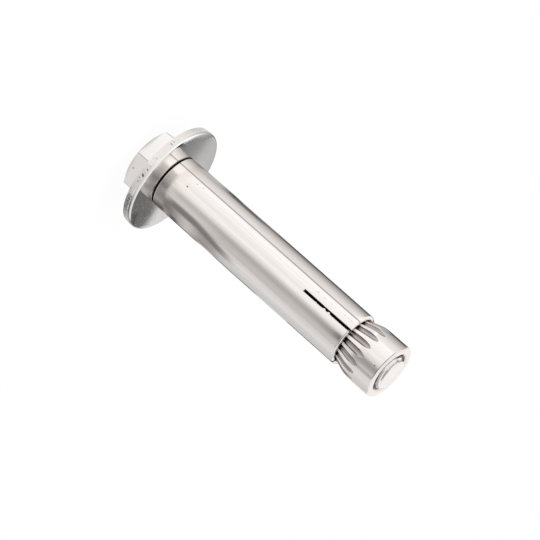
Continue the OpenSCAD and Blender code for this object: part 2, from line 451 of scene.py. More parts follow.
# Small pits and scratches in the skin: azimuth in degrees, height, half width, half length, darkness
PITS = [(-100.0, 12.5, 0.16, 0.16, 0.8), (-117.0, 13.6, 0.08, 0.08, 0.8), (-119.0, 15.0, 0.08, 0.08, 0.8)]
PITS += [(-115.5, z, 0.07, 0.25, dark) for z, dark in ((47.1, 0.5), (48.9, 0.4), (50.7, 0.25))]
PITS += [(-116.2, z, 0.07, 0.2, dark) for z, dark in ((54.3, 0.4), (55.2, 0.4), (56.1, 0.4))]
# Burrs on one edge of the front slit: height, half length, and how far they reach into the slit
BURRS = [(48.3, 0.12, 0.1), (50.5, 0.3, 0.26), (51.7, 0.27, 0.3)]

slit_deg = SLIT_DEG + 90.0 * np.arange(4)
half_slit = math.degrees(math.asin(SLIT_W / 2 / SLEEVE_R))
deg_per_mm = math.degrees(1 / SLEEVE_R)
even = np.arange(0, 360, 2.5) - 180.0
near_slit = np.abs(off_angle(even[:, None], slit_deg)).min(1) < half_slit + 2.0
near_weld = np.abs(off_angle(even, WELD_DEG)) < 1.6 * deg_per_mm
slit_side = half_slit + np.array([0.0, SLIT_BREAK, 0.14, 0.3]) * deg_per_mm
weld_side = np.array([0.04, 0.09, 0.15, 0.24, 0.4, 0.65, 1.0, 1.5]) * deg_per_mm
pits = np.array(PITS)
pit_side = pits[:, 2:3] * deg_per_mm
special = [(slit_deg[:, None] + np.concatenate([-slit_side, slit_side])).ravel()]
special += [WELD_DEG + weld_side, WELD_DEG - weld_side, [WELD_DEG]]
special += [(pits[:, :1] + np.concatenate([-pit_side, pit_side], 1)).ravel()]
sleeve_deg = np.unique(off_angle(np.concatenate([even[~(near_slit | near_weld)], *special]), 0.0).round(9))
slit_off = off_angle(sleeve_deg[:, None], slit_deg)
slit_off = np.take_along_axis(slit_off, np.abs(slit_off).argmin(1)[:, None], 1)[:, 0]
at_edge = np.abs(np.abs(slit_off) - half_slit) < 1e-5
cell_deg = sleeve_deg + off_angle(np.roll(sleeve_deg, -1), sleeve_deg) / 2
in_slit = np.abs(off_angle(cell_deg[:, None], slit_deg)).min(1) < half_slit
print("sleeve:", len(sleeve_deg), "columns,", in_slit.sum(), "of them in slits")

# %% Wall of the sleeve
low_arc = arc((SLEEVE_R - END_EDGE_R, SLEEVE_LOW + END_EDGE_R), END_EDGE_R, -90, 0, 8)
high_arc = arc((SLEEVE_R - END_EDGE_R, SLEEVE_HIGH - END_EDGE_R), END_EDGE_R, 0, 90, 8)
mouth_arc = arc((BORE_R + MOUTH_EDGE_R, SLEEVE_HIGH - MOUTH_EDGE_R), MOUTH_EDGE_R, 180, 90, 8)
plain_z = np.linspace(SLEEVE_LOW + 1.0, SLIT_START_Z - 0.6, 24)
slit_z = np.concatenate([np.array([-0.2, -SLIT_BREAK, 0.0, 0.15]), np.linspace(0.6, 11.8, 22)]) + SLIT_START_Z
burrs = np.array(BURRS)
burr_z = (burrs[:, :1] + burrs[:, 1:2] * np.linspace(-2, 2, 9)).ravel()
pit_z = (pits[:, 1:2] + pits[:, 3:4] * np.array([-1.0, 1.0])).ravel()
wall_z = np.unique(np.concatenate([plain_z, slit_z, burr_z, pit_z]).round(6))
outer_r = np.concatenate([low_arc[:, 0], np.full(len(wall_z), SLEEVE_R), high_arc[:, 0]])
outer_z = np.concatenate([low_arc[:, 1], wall_z, high_arc[:, 1]])
inner_r = np.concatenate([np.full(8 + len(wall_z), BORE_R), mouth_arc[:, 0]])
inner_z = np.concatenate([low_arc[:, 1], wall_z, mouth_arc[:, 1]])

off_weld = off_angle(sleeve_deg, WELD_DEG) / deg_per_mm
weld = WELD_DEPTH * np.exp(-((off_weld / WELD_W) ** 2)) - WELD_PEAK * np.exp(-np.abs(off_weld) / WELD_REACH)
cut = soft_step(outer_z, SLIT_START_Z - SLIT_BREAK, SLIT_START_Z)
broken_edge = 0.035 * at_edge * cut[:, None]
sleeve_angle = np.radians(sleeve_deg)
burr_edge = at_edge & (slit_off > 0) & (np.abs(off_angle(sleeve_deg, SLIT_DEG)) < 10)
burr = (burrs[:, 2] * np.exp(-(((outer_z[:, None] - burrs[:, 0]) / burrs[:, 1]) ** 2))).sum(1)
outer_angle = sleeve_angle - burr_edge * burr[:, None] / SLEEVE_R
broken_edge = broken_edge * (burr[:, None] < 0.02)
outer = round_grid(outer_r[:, None] - weld - broken_edge, outer_z[:, None], outer_angle)
# The two faces of a saw cut are parallel, so in the bore its edges stand further apart in degrees
bore_edge = np.sign(slit_off) * (math.asin(SLIT_W / 2 / BORE_R) - math.asin(SLIT_W / 2 / SLEEVE_R))
inner = round_grid(inner_r[:, None], inner_z[:, None], sleeve_angle + at_edge * bore_edge)

out_at = np.arange(len(outer_z) * len(sleeve_deg)).reshape(len(outer_z), len(sleeve_deg))
in_at = out_at + out_at.size
out_next, in_next = np.roll(out_at, -1, 1), np.roll(in_at, -1, 1)
open_cell = in_slit & (outer_z[:-1, None] > SLIT_START_Z - 1e-6)
solid = ~open_cell
print("wall:", out_at.size, "points on each side,", open_cell.sum(), "cells left out for the slits")


# %% Faces of the sleeve
def quads_where(mask, a, b, c, d):
    """Quads from four index grids, for the cells where the mask holds."""
    return np.stack([a[mask], b[mask], c[mask], d[mask]], -1)


skin = quads_where(solid, out_at[:-1], out_next[:-1], out_next[1:], out_at[1:])
bore = quads_where(solid, in_at[:-1], in_at[1:], in_next[1:], in_next[:-1])
foot = np.stack([in_at[0], in_next[0], out_next[0], out_at[0]], -1)
ends_above = solid & ~np.concatenate([solid[1:], np.zeros((1, len(sleeve_deg)), bool)])
caps = quads_where(ends_above, out_at[1:], out_next[1:], in_next[1:], in_at[1:])
solid_before = np.roll(solid, 1, 1)
leaf_end = solid_before & ~solid
leaf_start = solid & ~solid_before
end_walls = quads_where(leaf_end, out_at[:-1], in_at[:-1], in_at[1:], out_at[1:])
start_walls = quads_where(leaf_start, in_at[:-1], out_at[:-1], out_at[1:], in_at[1:])
sleeve_quads = [skin, bore, foot, caps, end_walls, start_walls]
print("faces on skin, bore, foot, caps and slit walls:", [len(quads) for quads in sleeve_quads])

# %% Marks and painted shade on the sleeve
# Dark on the skin: the weld's groove with a soft painted shade on one side, the pits, and painted shade in
# the crevice where the foot's rounding meets the washer
cell_off = off_angle(cell_deg, WELD_DEG) / deg_per_mm
in_weld = 0.62 * np.exp(-((cell_off / 0.13) ** 2)) + 0.2 * np.exp(-np.abs(cell_off) / 0.25) * (cell_off < 0)
in_weld = np.where(np.abs(cell_off) < 0.6, in_weld, 0.0)
cell_z = (outer_z[:-1] + outer_z[1:])[:, None] / 2
skin_marks_and_shade = np.broadcast_to(in_weld, solid.shape).copy()
for pit_deg, pit_height, half_w, half_l, dark in PITS:
    across = np.abs(off_angle(cell_deg, pit_deg)) < half_w * deg_per_mm
    skin_marks_and_shade[across & (np.abs(cell_z - pit_height) < half_l)] = dark
skin_marks_and_shade[:FOOT_DARK_ROWS] = 1.0
# Painted shade darkens the bore, all but its top near the mouth
bore_shade = np.broadcast_to(1.0 - soft_step(cell_z, SLEEVE_HIGH - 4.0, SLEEVE_HIGH - 1.5), solid.shape)
# Painted shade darkens the foot and both kinds of slit wall all over, and the caps not at all
PLAIN_SHADE = (1.0, 0.0, 0.95, 0.95)
plain_shade = [np.full(len(quads), dark) for quads, dark in zip(sleeve_quads[2:], PLAIN_SHADE)]
sleeve_marks_and_shade = np.concatenate([skin_marks_and_shade[solid], bore_shade[solid], *plain_shade])
# Handling has rubbed the lip of the mouth matt on one side too
LIP_RUBBED_DEG = -145.0
LIP_RUBBED_REACH = (34.0, 52.0)
lip_rubbed = 1.0 - soft_step(np.abs(off_angle(cell_deg, LIP_RUBBED_DEG)), *LIP_RUBBED_REACH)
skin_rubbed = lip_rubbed * soft_step(cell_z, SLEEVE_HIGH - 0.46, SLEEVE_HIGH - 0.3)
sleeve_rubbed = np.zeros(len(sleeve_marks_and_shade))
sleeve_rubbed[: len(skin)] = skin_rubbed[solid]
cap_start = len(skin) + len(bore) + len(foot)
sleeve_rubbed[cap_start : cap_start + len(caps)] = np.broadcast_to(lip_rubbed, solid.shape)[ends_above]
sleeve = make_piece(
    "drawn_sleeve",
    np.concatenate([outer.reshape(-1, 3), inner.reshape(-1, 3)]),
    np.concatenate(sleeve_quads),
    "sleeve",
    "expansion_sleeve",
    face_values={"marks_and_shade": sleeve_marks_and_shade, "rubbed": sleeve_rubbed},
)

# %% [markdown]
# ## The cone nut
# The nut is a turned blank, a cone that blends into a cylinder, with 18 round-bottomed flutes pressed into
# the cone. The bottom of a flute climbs less steeply than the cone, so the flute is deepest at the shoulder
# and then runs out on the cylinder. In a level slice the nose of the tool is an ellipse, so the radius of a
# flute at some angle from its middle solves a quadratic, and the nut takes the smaller of that and the blank.
# The columns fan out with the edges of the flutes, so that each edge is a clean line.

# %% Cone nut
MOUTH_Z = SLEEVE_HIGH
NUT_R = 6.05
NUT_OUT = 9.75
NUT_IN = 1.0
CONE = math.radians(18.0)
CONE_MOUTH_R = 5.0
SHOULDER_R = 7.0
FLUTE_COUNT = 18
FLUTE_SLOPE = math.radians(15.0)
FLUTE_DEPTH = 0.4
FLUTE_W = 1.2
NOSE_R = ((FLUTE_W / 2) ** 2 + FLUTE_DEPTH**2) / (2 * FLUTE_DEPTH)
NUT_EDGE_R = 0.45
COUNTERSINK_R = 4.65
NUT_THREAD_R = 4.05
NUT_MINOR_R = 3.324
THREAD_PLAY = 0.08
BURR_H = 0.012

shoulder_z = (NUT_R - CONE_MOUTH_R) / math.tan(CONE)
blend_z = shoulder_z + SHOULDER_R * math.tan(CONE / 2)
blend_start_z = blend_z - SHOULDER_R * math.sin(CONE)


def blank_radius(z):
    """Radius of the turned blank above the mouth: cone, blending arc, cylinder."""
    cone = CONE_MOUTH_R + z * math.tan(CONE)
    sag = np.sqrt(SHOULDER_R**2 - np.clip(blend_z - z, 0, SHOULDER_R * math.sin(CONE)) ** 2)
    return np.where(z < blend_start_z, cone, NUT_R - SHOULDER_R + sag)


print("blank: cone up to", round(blend_start_z, 2), "mm and cylinder from", round(blend_z, 2), "mm")


# %% Flutes of the nut
def flute_bottom(z):
    """Radius of the straight line along the bottom of a flute."""
    return CONE_MOUTH_R - FLUTE_DEPTH / math.cos(FLUTE_SLOPE) + z * math.tan(FLUTE_SLOPE)


COS2, SIN2 = math.cos(FLUTE_SLOPE) ** 2, math.sin(FLUTE_SLOPE) ** 2


def nose_centre(z):
    """Radius at which the middle of the tool's round nose stands."""
    return flute_bottom(z) + NOSE_R / math.cos(FLUTE_SLOPE)


def flute_half_angle(z):
    """Angle p from the middle of a flute to its edge. There the blank's radius R meets the nose with
    centre c, radius n and slope s: (c - R cos p)^2 cos^2 s + R^2 sin^2 p = n^2, which is solved for cos p."""
    c, r = nose_centre(z), blank_radius(z)
    root = np.sqrt((c * r * COS2) ** 2 + r**2 * SIN2 * (c**2 * COS2 + r**2 - NOSE_R**2))
    return np.arccos(np.clip((root - c * r * COS2) / (r**2 * SIN2), -1, 1))


def fluted_radius(z, off):
    """The smaller of the blank and the groove, with softened edges and a low pressed-up burr. The groove
    is the same equation, solved for R at the angle p."""
    c = nose_centre(z)
    a, b = np.cos(off) ** 2 * COS2 + np.sin(off) ** 2, c * np.cos(off) * COS2
    inside = b**2 - a * (c**2 * COS2 - NOSE_R**2)
    groove = np.where(inside > 0, (b - np.sqrt(np.clip(inside, 0, None))) / a, 2 * NUT_R)
    whole = blank_radius(z) + 0 * off
    gap = np.clip(0.03 - np.abs(groove - whole), 0, None)
    edge = (np.abs(off) - np.clip(flute_half_angle(z), 0, None)) * whole
    burr = BURR_H * np.exp(-((edge / 0.12) ** 2)) * soft_step(flute_half_angle(z), 0.0, 0.02)
    return np.minimum(groove, whole) - gap**2 / 0.12 + burr * (groove > whole)


print("a flute at the mouth:", round(math.degrees(2 * flute_half_angle(0.0)), 1), "degrees wide")

# %% Columns of the nut
half_pitch = math.pi / FLUTE_COUNT
in_flute = np.array([0.0, 0.14, 0.38, 0.66, 0.9, 1.0])
on_ridge = np.array([0.1, 0.35, 1.0])


def flute_columns(z):
    """Offsets of the columns of one half pitch at each height: shares of the flute, then of the ridge."""
    edge = np.maximum(flute_half_angle(z), math.radians(0.7))
    return np.concatenate([in_flute * edge, edge + on_ridge * (half_pitch - edge)], 1)


def whole_turn(half):
    """Mirrors the offsets of a half pitch and repeats them for every flute. The flutes start at -90 degrees
    plus half a pitch."""
    offsets = np.concatenate([-half[:, -2:0:-1], half], 1)
    centres = -math.pi / 2 + (np.arange(FLUTE_COUNT) + 0.5) * 2 * half_pitch
    angle = (centres[None, :, None] + offsets[:, None, :]).reshape(len(half), -1)
    return angle, np.tile(offsets, (1, FLUTE_COUNT))


# Heights of the rows from the mouth, closer together where the flutes run out
run_out_z = [np.linspace(4.35, 5.15, 9), np.linspace(5.2, 5.5, 13)]
fluted_z = [[-0.97, -0.9], np.linspace(-0.7, 4.2, 26), *run_out_z, [5.65, 6.5, 7.6, 8.6]]
fluted_z = np.concatenate(fluted_z)[:, None]
fluted_angle, fluted_off = whole_turn(flute_columns(fluted_z))
nut_columns = fluted_angle.shape[1]
even_angle = fluted_angle[0, 0] + np.arange(nut_columns) * 2 * math.pi / nut_columns
fluted_r = fluted_radius(fluted_z, fluted_off)
print("flutes:", len(fluted_z), "rows of", nut_columns, "points")

# %% Ends and thread of the nut
# The small end and the outer end go from the fluted columns to evenly spaced ones, which carry the thread
foot_share = np.array([0.0, 0.4, 0.8, 0.97])[:, None]
foot_r = NUT_THREAD_R + (fluted_r[0] - NUT_THREAD_R) * foot_share
foot_angle = even_angle + (fluted_angle[0] - even_angle) * foot_share
top_profile = list(arc((NUT_R - NUT_EDGE_R, NUT_OUT - NUT_EDGE_R), NUT_EDGE_R, 0, 90, 9))
top_profile += [(r, NUT_OUT) for r in (5.4, 5.1, COUNTERSINK_R + 0.08)]
top_profile += [(COUNTERSINK_R, NUT_OUT - 0.03), (4.35, NUT_OUT - 0.3)]
top_profile += [(NUT_THREAD_R, NUT_OUT - (COUNTERSINK_R - NUT_THREAD_R))]
top_r, top_z = np.array(top_profile).T[:, :, None]
top_share = np.clip((top_z - top_z[0]) / (top_z[8] - top_z[0]), 0, 1)
top_share[8:] = 1
top_angle = fluted_angle[-1] + (even_angle - fluted_angle[-1]) * top_share
nut_r = np.concatenate([foot_r, fluted_r, top_r + 0 * top_angle])
nut_z = np.concatenate([-NUT_IN + 0 * foot_share, fluted_z, top_z])
nut_angle = np.concatenate([foot_angle, fluted_angle, top_angle])
nut_outside = round_grid(nut_r, MOUTH_Z + nut_z, nut_angle).reshape(-1, 3)

THREAD_LOW = MOUTH_Z - NUT_IN
THREAD_HIGH = MOUTH_Z + top_z[-1, 0]


def nut_thread(offset, z):
    """The bolt's profile with some play, opened by a countersink at both ends."""
    groove = thread_radius(offset, THREAD_R + THREAD_PLAY, NUT_MINOR_R)
    entry = np.maximum(NUT_THREAD_R - (z - THREAD_LOW), NUT_THREAD_R - (THREAD_HIGH - z))
    return np.maximum(np.minimum(groove, NUT_THREAD_R), entry)


tapped, tapped_quads = thread_grid(even_angle, THREAD_LOW, THREAD_HIGH, nut_thread)
nut_quads = [round_quads(len(nut_r), nut_columns), tapped_quads[:, ::-1] + len(nut_outside)]
print("nut:", len(nut_outside), "points outside,", len(tapped), "on the thread")

# %% Crushed and rubbed places of the nut, and its painted shade
fluted_rows = slice(len(foot_share), len(foot_share) + len(fluted_z))
in_groove = (np.abs(fluted_off) < np.clip(flute_half_angle(fluted_z), 0, None)).astype(float)
pressed = np.zeros((len(nut_r), nut_columns))
pressed[fluted_rows] = in_groove
on_flute = pressed.ravel()[nut_quads[0]].mean(1) > 0.4
# Painted shade makes a flute darkest at its edges and near the mouth, and a little lighter where it runs out
from_middle = np.ones((len(nut_r), nut_columns))
from_middle[fluted_rows] = np.abs(fluted_off) / np.maximum(flute_half_angle(fluted_z), 1e-3)
at_side = soft_step(from_middle.ravel()[nut_quads[0]].mean(1), 0.5, 0.9)
near_mouth = 1.0 - soft_step(nut_z[:-1, 0], 0.2, 1.6)
run_out = soft_step(nut_z[:-1, 0], 2.5, 4.5)
along_flute = np.repeat(0.6 + 0.12 * near_mouth - 0.04 * run_out, nut_columns)
flute_face = on_flute * np.clip(along_flute + 0.06 * at_side, 0, 1)
# Painted shade darkens the crevice between countersink and bolt
countersink = np.zeros(len(nut_r) - 1)
countersink[-2:] = 0.12, 0.9
# The ridges between the flutes are rubbed matt, down to the shoulder
ridge = ~on_flute * np.repeat(1.0 - soft_step(nut_z[:-1, 0], 2.6, 4.0), nut_columns)
# The thread inside the nut is dark all over with painted shade
nut_values = {
    "flute": np.concatenate([flute_face, np.zeros(len(tapped_quads))]),
    "rubbed": np.concatenate([ridge, np.zeros(len(tapped_quads))]),
    "marks_and_shade": np.concatenate([np.repeat(countersink, nut_columns), np.ones(len(tapped_quads))]),
}
nut = make_piece(
    "fluted_nut",
    np.concatenate([nut_outside, tapped]),
    np.concatenate(nut_quads),
    "nut",
    "cone_nut",
    face_values=nut_values,
)

# %% [markdown]
# ## Materials
# All four pieces are austenitic stainless steel, and differ by how their surface was made. Colours are sRGB
# hex values. A node tree is a list of nodes with settings and links, so one small function adds a node.

# %% Material helpers
def linear(hex_colour):
    """sRGB hex to the linear RGBA that shader sockets take."""
    srgb = np.array([int(hex_colour[i : i + 2], 16) for i in (1, 3, 5)]) / 255.0
    rgb = np.where(srgb <= 0.04045, srgb / 12.92, ((srgb + 0.055) / 1.055) ** 2.4)
    return (*rgb.tolist(), 1.0)


def add_node(tree, kind, sockets=None, **settings):
    """Adds a node. Settings are its own properties, and sockets take a value or another node's output."""
    node = tree.nodes.new(kind)
    for key, value in settings.items():
        setattr(node, key, value)
    for key, value in (sockets or {}).items():
        if isinstance(value, bpy.types.NodeSocket):
            tree.links.new(value, node.inputs[key])
        else:
            node.inputs[key].default_value = value
    return node


def new_material(name):
    """A material with an empty node tree."""
    material = bpy.data.materials.new(name)
    material.use_nodes = True
    material.node_tree.nodes.clear()
    return material, material.node_tree


print("mid grey in linear light:", round(linear("#808080")[0], 3))


# %% Steel helpers
def dress(piece, material, shader):
    """Links a shader to the material's output, and puts the material on a piece."""
    add_node(material.node_tree, "ShaderNodeOutputMaterial", {"Surface": shader.outputs[0]})
    piece.data.materials.append(material)
    print(f"{piece.name}: {material.name}, {len(material.node_tree.nodes)} nodes")


def polish(piece, material, colour, mirror, gloss, height, strength, depth):
    """The steel that all four pieces share, with a relief whose depth is in millimetres."""
    tree = material.node_tree
    relief = {"Strength": strength, "Distance": depth * MM, "Height": height.outputs[0]}
    bump = add_node(tree, "ShaderNodeBump", relief)
    steel = {"Base Color": colour.outputs[2], "Metallic": mirror, "Roughness": gloss.outputs[0]}
    steel["Normal"] = bump.outputs[0]
    dress(piece, material, add_node(tree, "ShaderNodeBsdfPrincipled", steel))


def per_mm(size):
    """Noise scale for a feature of that size in millimetres, on Object coordinates in metres."""
    return 1.0 / (size * MM)


def pit_at(tree, place, centre, radius):
    """1 in a small pit round a point, 0 outside. Centre and radius are in millimetres."""
    ends = {0: place, 1: tuple(x * MM for x in centre)}
    far = add_node(tree, "ShaderNodeVectorMath", ends, operation="DISTANCE")
    sockets = {"Value": far.outputs["Value"], "From Min": radius * MM, "From Max": 0.5 * radius * MM}
    return add_node(tree, "ShaderNodeMapRange", sockets).outputs[0]


PIT_R = 0.22
PIT_COLOUR = linear("#8A8482")
# Nearly black, for oil in the bolt's thread and for painted shade on the hidden thread, the tip and the nut's
# countersink
OIL_AND_SHADE_COLOUR = linear("#2E2B29")
print("oil reflects", [round(x, 3) for x in OIL_AND_SHADE_COLOUR[:3]], "of red, green and blue")

# %% [markdown]
# ### Drawn tube
# The die leaves hair-fine lines along the tube. They are finer than a pixel, so they are drawn about
# 0.3 mm wide and 15 mm long. They spread the light across the tube a little, and dull it here and there.

# %% Drawn stainless steel
LINE_W, LINE_L = 0.3, 15.0
TUBE_GRAIN = 0.45
sleeve_steel, tree = new_material("stainless_steel_drawn")
place = add_node(tree, "ShaderNodeTexCoord").outputs["Object"]
line_scale = (per_mm(LINE_W), per_mm(LINE_W), per_mm(LINE_L))
along = add_node(tree, "ShaderNodeMapping", {"Vector": place, "Scale": line_scale})
lines = add_node(
    tree,
    "ShaderNodeTexNoise",
    {"Vector": along.outputs[0], "Scale": 1.0, "Detail": 3.0, "Roughness": 0.6},
).outputs[0]
grain = add_node(tree, "ShaderNodeTexNoise", {"Vector": place, "Scale": per_mm(TUBE_GRAIN), "Detail": 2.0})
gloss = add_node(
    tree,
    "ShaderNodeMapRange",
    {"Value": lines, "From Min": 0.3, "From Max": 0.7, "To Min": 0.13, "To Max": 0.21},
)
lined = add_node(tree, "ShaderNodeMapRange", {"Value": lines, "From Min": 0.35, "From Max": 0.65})
bright = add_node(
    tree,
    "ShaderNodeMix",
    {0: lined.outputs[0], 6: linear("#E8E1DD"), 7: linear("#E1D9D5")},
    data_type="RGBA",
)
# Marks and painted shade darken the tube towards this near black
marks_and_shade = add_node(tree, "ShaderNodeAttribute", attribute_name="marks_and_shade")
tone = add_node(
    tree,
    "ShaderNodeMix",
    {0: marks_and_shade.outputs["Fac"], 6: bright.outputs[2], 7: linear("#33302E")},
    data_type="RGBA",
)
relief = add_node(tree, "ShaderNodeMath", {0: lines, 1: grain.outputs[0]}, operation="ADD")
# A rubbed skin is scratched every way, so it scatters the light like a matt one
rubbed = add_node(tree, "ShaderNodeAttribute", attribute_name="rubbed").outputs["Fac"]
mirror = add_node(tree, "ShaderNodeMapRange", {"Value": rubbed, "To Min": 1.0, "To Max": 0.15})
polish(sleeve, sleeve_steel, tone, mirror.outputs[0], gloss, relief, strength=0.35, depth=0.004)

# %% [markdown]
# ### Rolled sheet
# The washer's faces keep the mirror of the mill's rolls, with specks and shallow waves. Its rim is sheared
# and torn, so it is rougher and carries dark marks. Part of its rolled edge is rubbed matt, like the
# sleeve's lip.

# %% Rolled stainless steel
SPECK = 0.35
WAVE = 3.0
washer_steel, tree = new_material("stainless_steel_rolled_sheet")
place = add_node(tree, "ShaderNodeTexCoord").outputs["Object"]
specks = add_node(tree, "ShaderNodeTexNoise", {"Vector": place, "Scale": per_mm(SPECK), "Detail": 2.0})
waves = add_node(tree, "ShaderNodeTexNoise", {"Vector": place, "Scale": per_mm(WAVE), "Detail": 1.0})
gloss = add_node(
    tree,
    "ShaderNodeMapRange",
    {"Value": specks.outputs[0], "From Min": 0.6, "From Max": 0.72, "To Min": 0.08, "To Max": 0.4},
)
torn = add_node(tree, "ShaderNodeAttribute", attribute_name="torn")
tone = add_node(
    tree,
    "ShaderNodeMix",
    {0: torn.outputs["Fac"], 6: linear("#DEDCDA"), 7: linear("#3E3A38")},
    data_type="RGBA",
)
relief = add_node(
    tree,
    "ShaderNodeMath",
    {0: waves.outputs[0], 1: 6.0, 2: specks.outputs[0]},
    operation="MULTIPLY_ADD",
)
rubbed = add_node(tree, "ShaderNodeAttribute", attribute_name="rubbed").outputs["Fac"]
mirror = add_node(tree, "ShaderNodeMapRange", {"Value": rubbed, "To Min": 1.0, "To Max": 0.2})
polish(washer, washer_steel, tone, mirror.outputs[0], gloss, relief, strength=0.3, depth=0.003)

# %% [markdown]
# ### Cold headed bolt
# Tumbling after heading leaves the flats satin, with a fine grain and a small pit. Oil in the thread is
# nearly black, like the painted shade on its hidden and last turns; the corners have a paler painted shade.

# %% Tumbled stainless steel
GRAIN = 0.4
CLOUD = 2.5
HEAD_PIT = (3.3, -5.6, 1.25)
bolt_steel, tree = new_material("stainless_steel_cold_headed")
place = add_node(tree, "ShaderNodeTexCoord").outputs["Object"]
grain = add_node(tree, "ShaderNodeTexNoise", {"Vector": place, "Scale": per_mm(GRAIN), "Detail": 3.0})
cloud = add_node(tree, "ShaderNodeTexNoise", {"Vector": place, "Scale": per_mm(CLOUD), "Detail": 2.0})
gloss = add_node(
    tree,
    "ShaderNodeMapRange",
    {"Value": cloud.outputs[0], "From Min": 0.3, "From Max": 0.7, "To Min": 0.2, "To Max": 0.32},
)
marks_and_shade = add_node(tree, "ShaderNodeAttribute", attribute_name="marks_and_shade")
# Oil and painted shade darken the steel towards near black
tone = add_node(
    tree,
    "ShaderNodeMix",
    {0: marks_and_shade.outputs["Fac"], 6: linear("#E8E3E0"), 7: OIL_AND_SHADE_COLOUR},
    data_type="RGBA",
)
pitted = add_node(
    tree,
    "ShaderNodeMix",
    {0: pit_at(tree, place, HEAD_PIT, PIT_R), 6: tone.outputs[2], 7: PIT_COLOUR},
    data_type="RGBA",
)
polish(bolt, bolt_steel, pitted, 1.0, gloss, grain, strength=0.15, depth=0.006)

# %% [markdown]
# ### Pressed flutes on a turned blank
# The cylinder of the nut is bright, like the sleeve. The press leaves the flutes dull and darker, because
# their skin is crushed and not polished afterwards. Painted shade darkens their edges and the part near the
# mouth more.

# %% Turned and pressed stainless steel
NUT_PIT = (0.86, -5.99, 65.65)
nut_steel, tree = new_material("stainless_steel_turned_and_pressed")
place = add_node(tree, "ShaderNodeTexCoord").outputs["Object"]
grain = add_node(tree, "ShaderNodeTexNoise", {"Vector": place, "Scale": per_mm(GRAIN), "Detail": 3.0})
flute = add_node(tree, "ShaderNodeAttribute", attribute_name="flute").outputs["Fac"]
gloss = add_node(tree, "ShaderNodeMapRange", {"Value": flute, "To Min": 0.15, "To Max": 0.3})
tone = add_node(
    tree,
    "ShaderNodeMix",
    {0: flute, 6: linear("#E6DEDA"), 7: linear("#5E5653")},
    data_type="RGBA",
)
marks_and_shade = add_node(tree, "ShaderNodeAttribute", attribute_name="marks_and_shade")
# Painted shade darkens the countersink and the thread towards near black
shaded = add_node(
    tree,
    "ShaderNodeMix",
    {0: marks_and_shade.outputs["Fac"], 6: tone.outputs[2], 7: OIL_AND_SHADE_COLOUR},
    data_type="RGBA",
)
pitted = add_node(
    tree,
    "ShaderNodeMix",
    {0: pit_at(tree, place, NUT_PIT, PIT_R), 6: shaded.outputs[2], 7: PIT_COLOUR},
    data_type="RGBA",
)
rubbed = add_node(tree, "ShaderNodeAttribute", attribute_name="rubbed").outputs["Fac"]
mirror = add_node(tree, "ShaderNodeMapRange", {"Value": rubbed, "To Min": 1.0, "To Max": 0.45})
polish(nut, nut_steel, pitted, mirror.outputs[0], gloss, grain, strength=0.4, depth=0.005)

# %% [markdown]
# ## The studio
# Bright metal shows only what it reflects, so a photographer puts white and grey cards round it. Here they
# are one open tent of cloth round the anchor, which only reflections can see. Its glow is worked out for
# each point from the bearing, seen from the axis, and the height. The floor is plain white, glows for the
# camera, and keeps some of the anchor's shadow.

# %% Light tent
TENT_R = 27.0
TENT_TOP = 115.0
# Bearing in degrees from the camera's side, positive towards -X, and the glow of the cloth there
CLOTH = np.array(
    [
        (-180, 0.78), (-125, 0.72), (-105, 0.80), (-84, 0.93), (-65, 0.88), (-54, 0.68), (-42, 0.69),
        (-27, 0.53), (-20, 0.58), (-13, 0.85), (-3, 1.13), (8, 1.2), (19, 1.12), (30, 1.2), (58, 1.33),
        (68, 1.08), (78, 1.03), (95, 0.83), (107, 0.66), (120, 0.47), (128, 0.33), (136, 0.16),
        (145, 0.05), (180, 0.05),
    ]
)
# The same for what the washer's rim sees: the outer floor of the tent and the foot of its wall
RIM_CLOTH = np.array(
    [
        (-180, 0.12), (-150, 0.18), (-130, 0.4), (-114, 0.39), (-104, 0.26), (-95, 0.21), (-74, 0.24),
        (-64, 0.4), (-56, 0.7), (-30, 0.83), (-8, 0.92), (4, 1.15), (66, 1.08), (85, 0.82), (104, 0.68),
        (133, 0.52), (150, 0.36), (180, 0.3),
    ]
)
tent_bearing = np.radians(np.linspace(-180, 180, 240, endpoint=False))
base_r = np.concatenate([[6.25, 7.5], np.linspace(7.9, TENT_R, 20)])
base_z = np.concatenate([[0.02, 0.02], np.full(20, 0.1)])
side_z = np.concatenate([np.arange(0.4, 30, 0.5), np.arange(30, 80, 1.0), np.linspace(80, TENT_TOP, 10)])
tent_r = np.concatenate([base_r, np.full(len(side_z), TENT_R)])[:, None]
tent_z = np.concatenate([base_z, side_z])[:, None]
bearing = np.degrees(tent_bearing)[None, :]
glow = np.interp(bearing, CLOTH[:, 0], CLOTH[:, 1]) + 0 * tent_z


def between(x, low, high, blur):
    """1 from low to high and 0 outside, with a smooth step of half width blur at both ends."""
    return soft_step(x, low - blur, low + blur) * (1 - soft_step(x, high - blur, high + blur))


def card(glow, level, low_deg, high_deg, blur_deg, low_z, high_z, blur_z):
    """Lays a card over part of the cloth, with soft edges. Level and heights may vary over the cloth."""
    wide = between(bearing, low_deg, high_deg, blur_deg)
    return glow + (level - glow) * wide * between(tent_z, low_z, high_z, blur_z)


print("tent:", glow.shape[0], "rows of", glow.shape[1], "points")

# %% Cards on the tent
# A dark card stands low on the left, near the washer
low_left = np.interp(tent_z, [3, 5, 7.5, 9.5, 11.5, 15, 18], [0.24, 0.48, 0.76, 0.64, 0.42, 0.45, 0.68])
glow = card(glow, low_left, -140, -74, 7, -9, 18, 3)
glow = card(glow, 0.75 * glow, -140, -113, 5, 8.0, 13.0, 1.5)
stripe_edge = np.interp(tent_z, [10, 14, 17, 20], [-50, -59, -67, -72])
glow = card(glow, 0.235, stripe_edge - 26, stripe_edge, 5, -9, 19.3, 3.3)
# The sleeve is a little paler between this card and its middle
glow = card(glow, 1.2 * glow, -52, -22, 8, -9, 14, 4)
